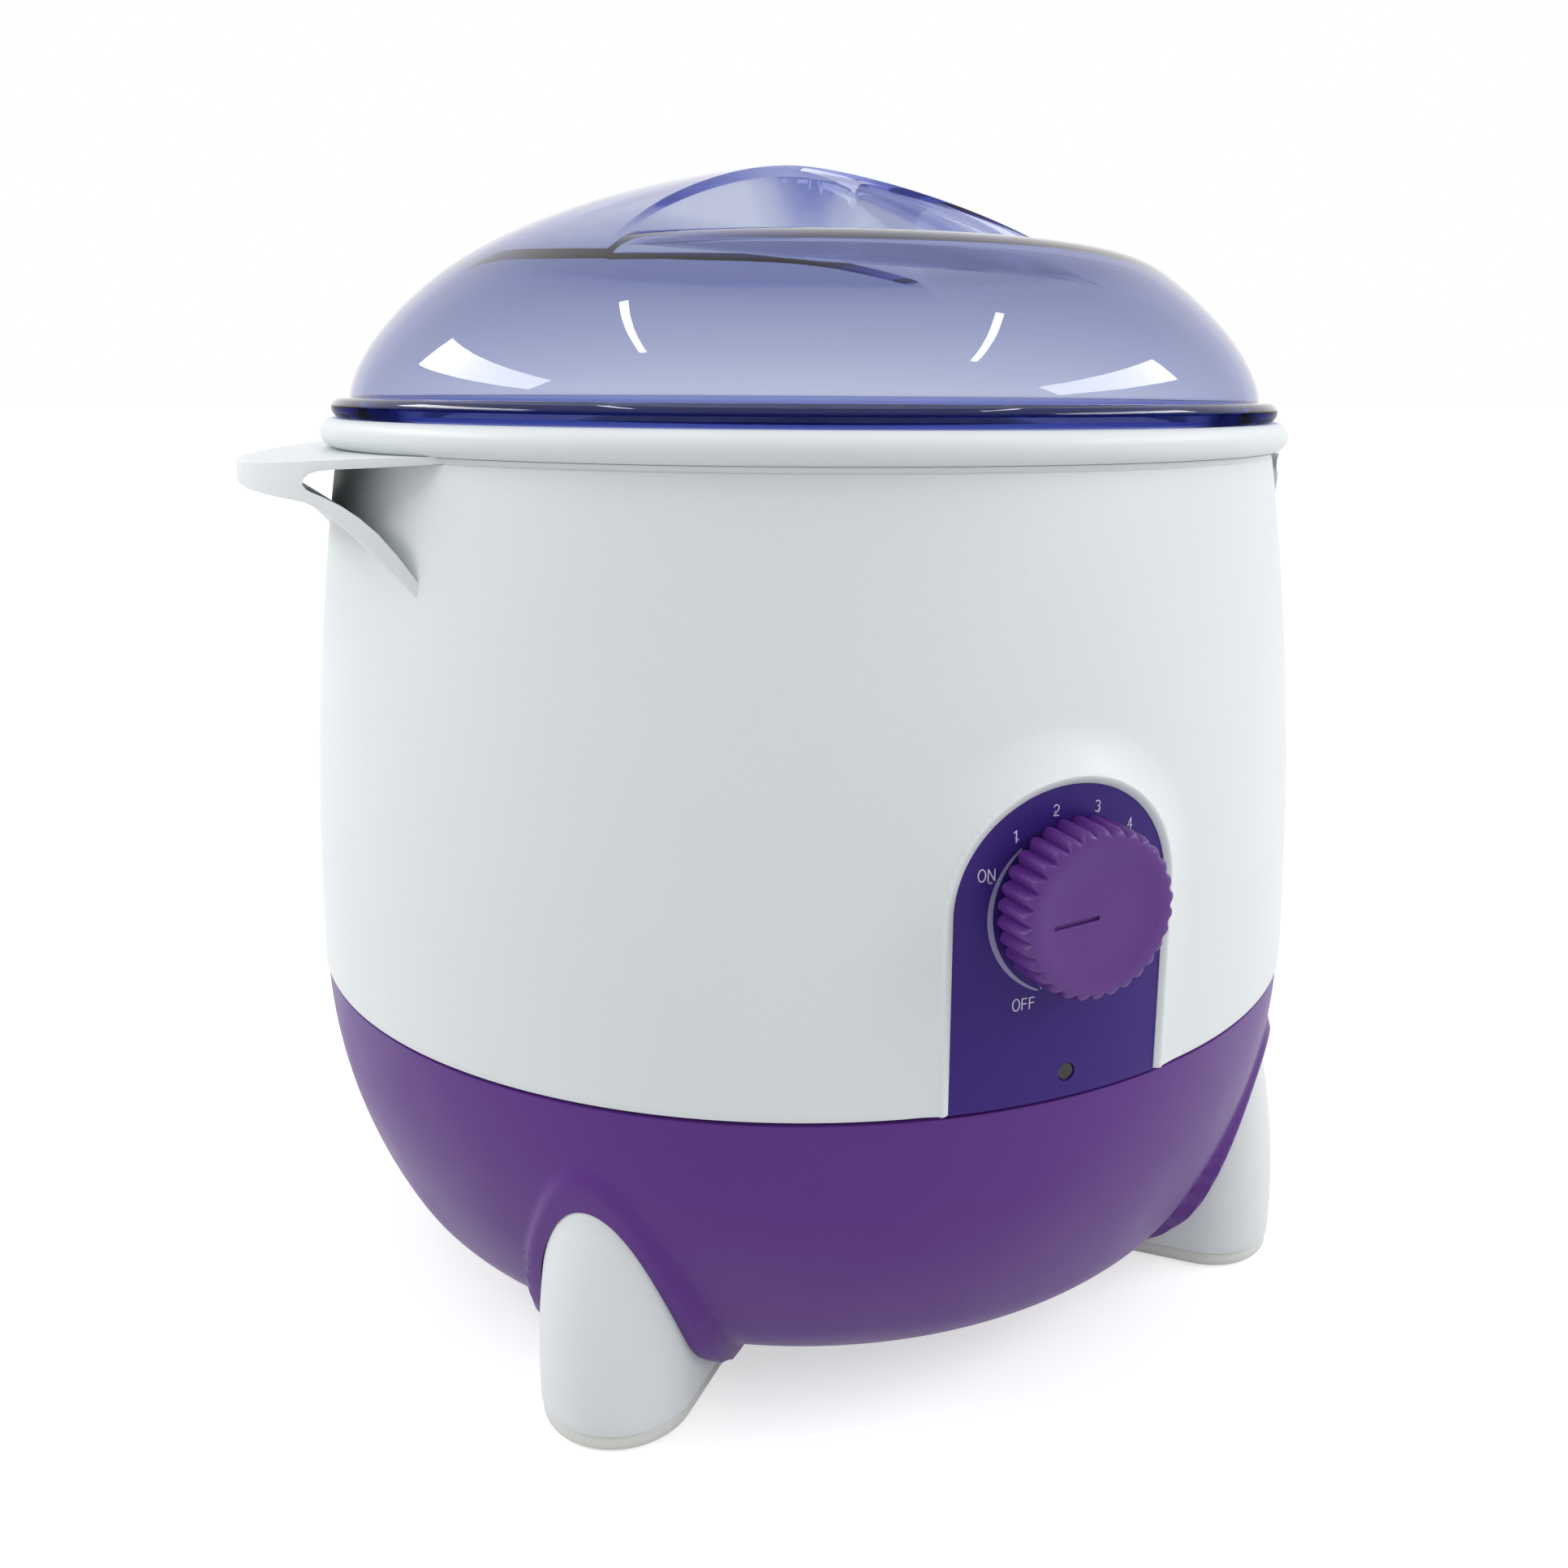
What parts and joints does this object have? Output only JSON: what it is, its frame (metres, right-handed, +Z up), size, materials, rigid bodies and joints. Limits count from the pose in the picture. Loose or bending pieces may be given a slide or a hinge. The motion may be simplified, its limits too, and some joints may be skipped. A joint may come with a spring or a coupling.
{
  "type": "wax warmer",
  "caption": "Round electric wax warmer: white housing with side ears on a purple legged bowl, lift-out aluminium pot in a heated well, tinted lid with finger grip, front heat dial",
  "frame": {"origin": "On the table under the centre of the body, in the plane of the foot pads.", "axes": "+Z up, the dial faces -Y, the two ears point along +X and -X."},
  "size_m": [0.2402, 0.2396, 0.2355],
  "materials": {
    "white_plastic": "satin, fine mould texture",
    "purple_plastic": "satin",
    "panel_indigo": "satin",
    "knob_purple": "satin",
    "tinted_plastic": "clear blue-violet tint, glossy",
    "aluminium": "spun, satin",
    "steel": "zinc plated",
    "foot_plastic": "matt",
    "silicone": "matt",
    "felt": "matt felt",
    "phenolic": "matt",
    "black_plastic": "matt",
    "lamp_red": "clear lens",
    "block_plastic": "matt",
    "wire_silicone": "matt"
  },
  "bodies": {
    "warmer": {"outer_housing": "white_plastic", "top_ring": "white_plastic", "heating_well": "aluminium", "well_gasket": "silicone", "insulation_felt": "felt", "heating_element": "steel", "element_clamp_plate": "aluminium", "clamp_nuts": "steel", "thermal_cutout": "phenolic", "heat_shield": "steel", "shield_screws": "steel", "base_shell": "purple_plastic", "leg_front_right": "white_plastic", "leg_back_right": "white_plastic", "leg_back_left": "white_plastic", "leg_front_left": "white_plastic", "foot_pad_front_right": "foot_plastic", "foot_pad_back_right": "foot_plastic", "foot_pad_back_left": "foot_plastic", "foot_pad_front_left": "foot_plastic", "leg_screws": "steel", "dial_plate": "panel_indigo", "thermostat_body": "phenolic", "thermostat_bracket": "steel", "bracket_screws": "steel", "sensor_block": "aluminium", "signal_lamp": "lamp_red", "lamp_holder": "black_plastic", "terminal_block": "block_plastic", "cord_bush": "black_plastic", "lead_wires": "wire_silicone"},
    "pot": {"wax_pot": "aluminium"},
    "cover": {"lid": "tinted_plastic"},
    "dial": {"control_knob": "knob_purple", "thermostat_shaft": "steel"}
  },
  "joints": [
    {"name": "pot_lift", "type": "slide", "parent": "warmer", "child": "pot", "axis": [0, 0, 1], "range_m": [0, 0.12]},
    {"name": "lid_lift", "type": "slide", "parent": "pot", "child": "cover", "axis": [0, 0, 1], "range_m": [0, 0.1]},
    {"name": "dial_turn", "type": "hinge", "parent": "warmer", "child": "dial", "pos_m": [0, -0.115, 0.1047], "axis": [0, 1, 0], "range_deg": [-64, 148]}
  ]
}
